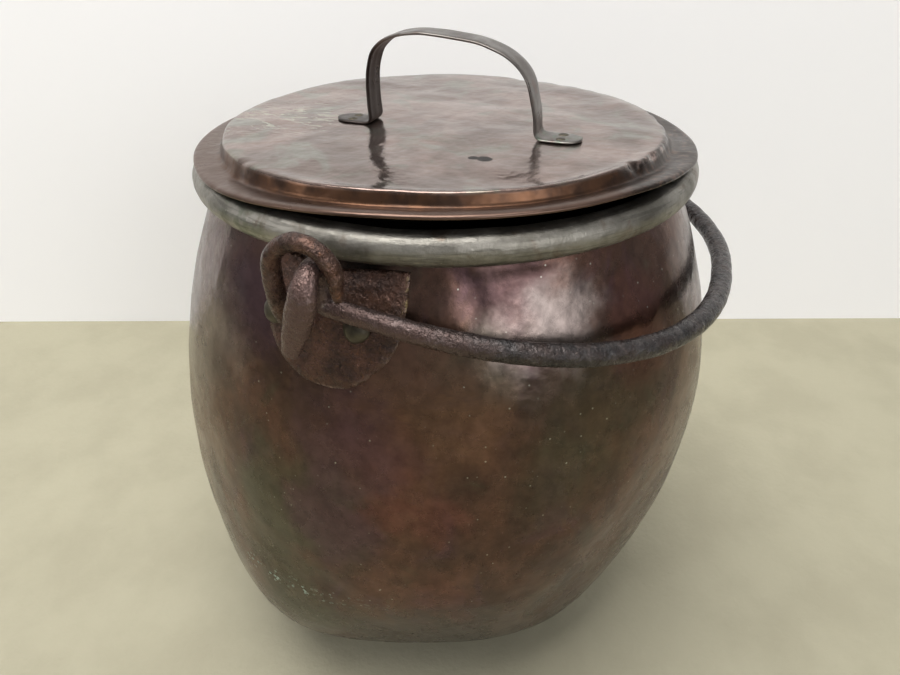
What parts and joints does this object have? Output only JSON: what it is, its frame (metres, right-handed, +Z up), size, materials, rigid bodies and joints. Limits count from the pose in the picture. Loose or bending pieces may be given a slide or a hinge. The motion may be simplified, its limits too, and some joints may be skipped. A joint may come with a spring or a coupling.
{
  "type": "kettle",
  "caption": "Round-bottomed copper kettle with a rolled rim, riveted iron lugs, a swing bail and a lift-off lid with a strap handle.",
  "frame": {"origin": "middle of the flat underside, on the floor", "axes": "+Z up along the pot's axis; the lugs are on the -X and +X sides; the folded bail hangs on the -Y side"},
  "size_m": [0.4152, 0.3917, 0.4566],
  "materials": {
    "copper": "dark brown patinated hammered copper, satin to glossy",
    "tinned_copper": "grey-green tinned copper, worn satin",
    "lid_copper": "pinkish grey-brown hammered copper, glossy",
    "rivet_copper": "dark olive copper, dull",
    "forged_iron": "pitted rusty forged iron",
    "strap_iron": "grey worn iron strap, satin"
  },
  "bodies": {
    "pot": {"pot_wall": "copper", "pot_bowl": "copper", "rim_roll": "tinned_copper", "rim_hoop": "forged_iron", "lug_left": "forged_iron", "lug_right": "forged_iron", "lug_rivets_left": "rivet_copper", "lug_rivets_right": "rivet_copper", "lug_washers_left": "rivet_copper", "lug_washers_right": "rivet_copper"},
    "swing_bail": {"bail": "forged_iron"},
    "lid": {"lid_pan": "lid_copper", "lid_handle": "strap_iron", "handle_rivets": "rivet_copper", "handle_washers": "rivet_copper"}
  },
  "joints": [
    {"name": "bail_swing", "type": "hinge", "parent": "pot", "child": "swing_bail", "pos_m": [0, 0, 0.3675], "axis": [-0.9992, 0, 0.0393], "range_deg": [0, 198]},
    {"name": "lid_lift", "type": "slide", "parent": "pot", "child": "lid", "axis": [0, 0, 1], "range_m": [0, 0.25]}
  ]
}
